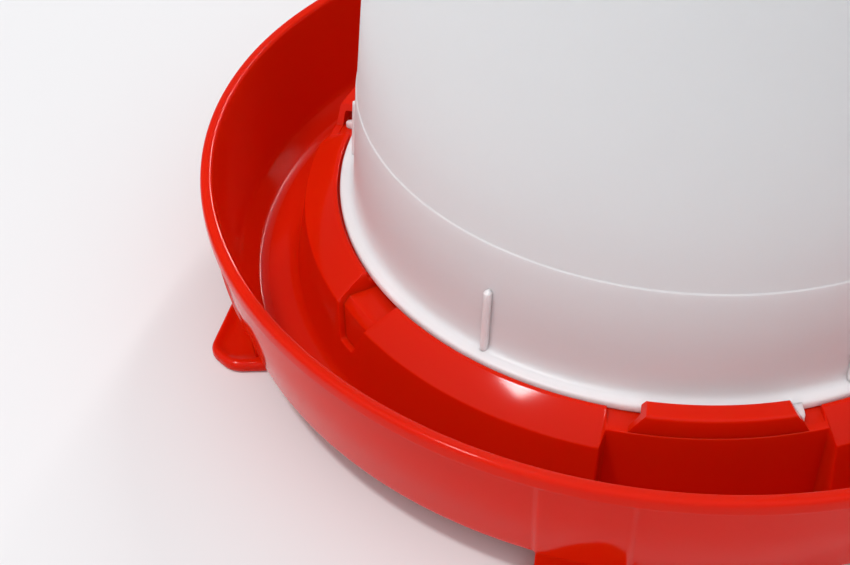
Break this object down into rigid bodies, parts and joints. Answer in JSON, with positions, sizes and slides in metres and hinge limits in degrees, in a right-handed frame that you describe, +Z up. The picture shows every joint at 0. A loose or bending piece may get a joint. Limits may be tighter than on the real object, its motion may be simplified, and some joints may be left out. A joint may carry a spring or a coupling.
{
  "type": "poultry waterer",
  "caption": "Siphon poultry drinker: a round trough tray on moulded feet, a tapered tank that lifts out from under its clips, and a wire bail with a turning grip.",
  "frame": {"origin": "on the tray's axis, on the surface that the feet stand on", "axes": "+Z up along the tank's axis; -Y towards the clip at the front; +X to the right seen from the front"},
  "size_m": [0.36, 0.36, 0.3593],
  "materials": {
    "tray_plastic": "glossy moulded polypropylene",
    "tank_plastic": "satin translucent polyethylene",
    "bail_steel": "bright zinc plate",
    "grip_plastic": "glossy moulded polypropylene"
  },
  "bodies": {
    "tray": {"base_tray": "tray_plastic"},
    "tank": {"fount_tank": "tank_plastic"},
    "bail": {"bail_wire": "bail_steel"},
    "grip": {"bail_grip": "grip_plastic"}
  },
  "joints": [
    {"name": "fount_lift", "type": "slide", "parent": "tray", "child": "tank", "axis": [0, 0, 1], "range_m": [0, 0.12]},
    {"name": "bail_swing", "type": "hinge", "parent": "tank", "child": "bail", "pos_m": [0, 0, 0.34881], "axis": [1, 0, 0], "range_deg": [0, 180]},
    {"name": "grip_spin", "type": "hinge", "parent": "bail", "child": "grip", "pos_m": [0, 0.072, 0.34881], "axis": [1, 0, 0], "continuous": true}
  ]
}
